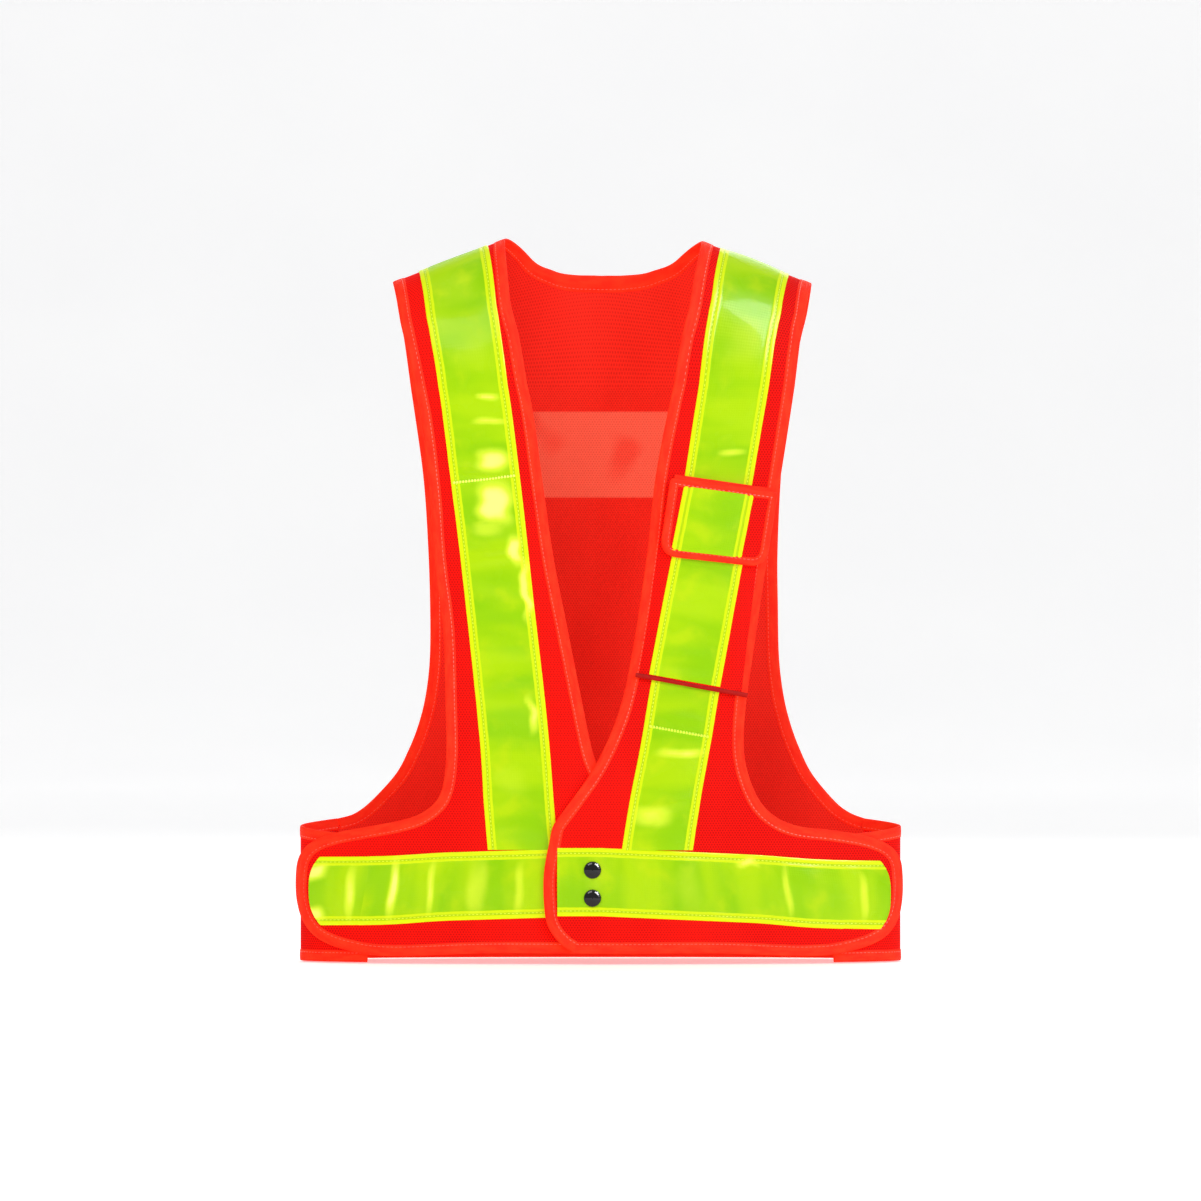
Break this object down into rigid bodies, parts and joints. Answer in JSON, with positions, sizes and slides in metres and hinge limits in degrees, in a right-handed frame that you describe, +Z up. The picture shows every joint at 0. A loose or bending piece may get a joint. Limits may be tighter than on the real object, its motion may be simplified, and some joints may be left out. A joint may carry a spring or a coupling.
{
  "type": "high visibility vest",
  "caption": "V-neck mesh safety vest with bound edges, reflective tape over shoulders and waist, snap front, side tabs and a strap pocket with flap.",
  "frame": {"origin": "on the plane of the hem, midway between the side folds and midway in depth", "axes": "+Z up to the shoulders, +X to the wearer's left, -Y to the front"},
  "size_m": [0.5348, 0.1512, 0.6356],
  "materials": {
    "mesh_fabric": "knitted polyester mesh",
    "binding": "folded woven binding, stitched",
    "reflective_tape": "glossy prismatic film with welded yellow borders",
    "hook_and_loop": "hook and loop pile",
    "dark_band": "woven tape",
    "snap_black": "gloss black",
    "snap_metal": "plated"
  },
  "bodies": {
    "root": {"back_panel": "mesh_fabric", "left_side_wing": "mesh_fabric", "right_side_wing": "mesh_fabric", "back_hem_binding": "binding", "left_wing_binding": "binding", "right_wing_binding": "binding", "left_back_armhole_binding": "binding", "right_back_armhole_binding": "binding", "left_shoulder_yoke": "mesh_fabric", "right_shoulder_yoke": "mesh_fabric", "left_shoulder_tape": "reflective_tape", "right_shoulder_tape": "reflective_tape", "back_waist_tape": "reflective_tape", "back_chest_tape": "reflective_tape", "neck_binding": "binding", "left_loop_patch": "hook_and_loop", "right_loop_patch": "hook_and_loop"},
    "left_front": {"left_front_panel": "mesh_fabric", "left_front_edge_binding": "binding", "left_front_armhole_binding": "binding", "left_strap_tape": "reflective_tape", "left_lower_strap_tape": "reflective_tape", "left_waist_tape": "reflective_tape", "snap_caps": "snap_black", "snap_sockets": "snap_metal", "pocket_pouch": "mesh_fabric", "pocket_pouch_tape": "reflective_tape", "pocket_foot_band": "dark_band", "pocket_loop_patch": "hook_and_loop"},
    "pocket_flap": {"pocket_flap": "mesh_fabric", "pocket_flap_tape": "reflective_tape", "pocket_flap_binding": "binding", "pocket_hook_patch": "hook_and_loop"},
    "left_tab": {"left_tab": "mesh_fabric", "left_tab_binding": "binding", "left_tab_tape": "reflective_tape", "left_hook_patch": "hook_and_loop"},
    "right_front": {"right_front_panel": "mesh_fabric", "right_front_edge_binding": "binding", "right_front_armhole_binding": "binding", "right_strap_tape": "reflective_tape", "right_waist_tape": "reflective_tape", "snap_studs": "snap_metal", "snap_backs": "snap_metal"},
    "right_tab": {"right_tab": "mesh_fabric", "right_tab_binding": "binding", "right_tab_tape": "reflective_tape", "right_hook_patch": "hook_and_loop"}
  },
  "joints": [
    {"name": "left_front_open", "type": "hinge", "parent": "root", "child": "left_front", "pos_m": [0.2067, -0.047, 0.07], "axis": [-0.1534, -0.0125, 0.9881], "range_deg": [0, 70]},
    {"name": "right_front_open", "type": "hinge", "parent": "root", "child": "right_front", "pos_m": [-0.2067, -0.047, 0.07], "axis": [-0.1534, 0.0125, -0.9881], "range_deg": [0, 50]},
    {"name": "left_tab_peel", "type": "hinge", "parent": "root", "child": "left_tab", "pos_m": [0.2067, -0.047, 0.07], "axis": [0.1534, 0.0125, -0.9881], "range_deg": [0, 90]},
    {"name": "right_tab_peel", "type": "hinge", "parent": "root", "child": "right_tab", "pos_m": [-0.2067, -0.047, 0.07], "axis": [0.1534, -0.0125, 0.9881], "range_deg": [0, 90]},
    {"name": "flap_open", "type": "hinge", "parent": "left_front", "child": "pocket_flap", "pos_m": [0.0615, -0.071, 0.4245], "axis": [-0.9863, -0.093, 0.1365], "range_deg": [0, 150]}
  ],
  "couplings": [
    {"joint": "right_front_open", "follows": "left_front_open", "ratio": 0.7}
  ]
}
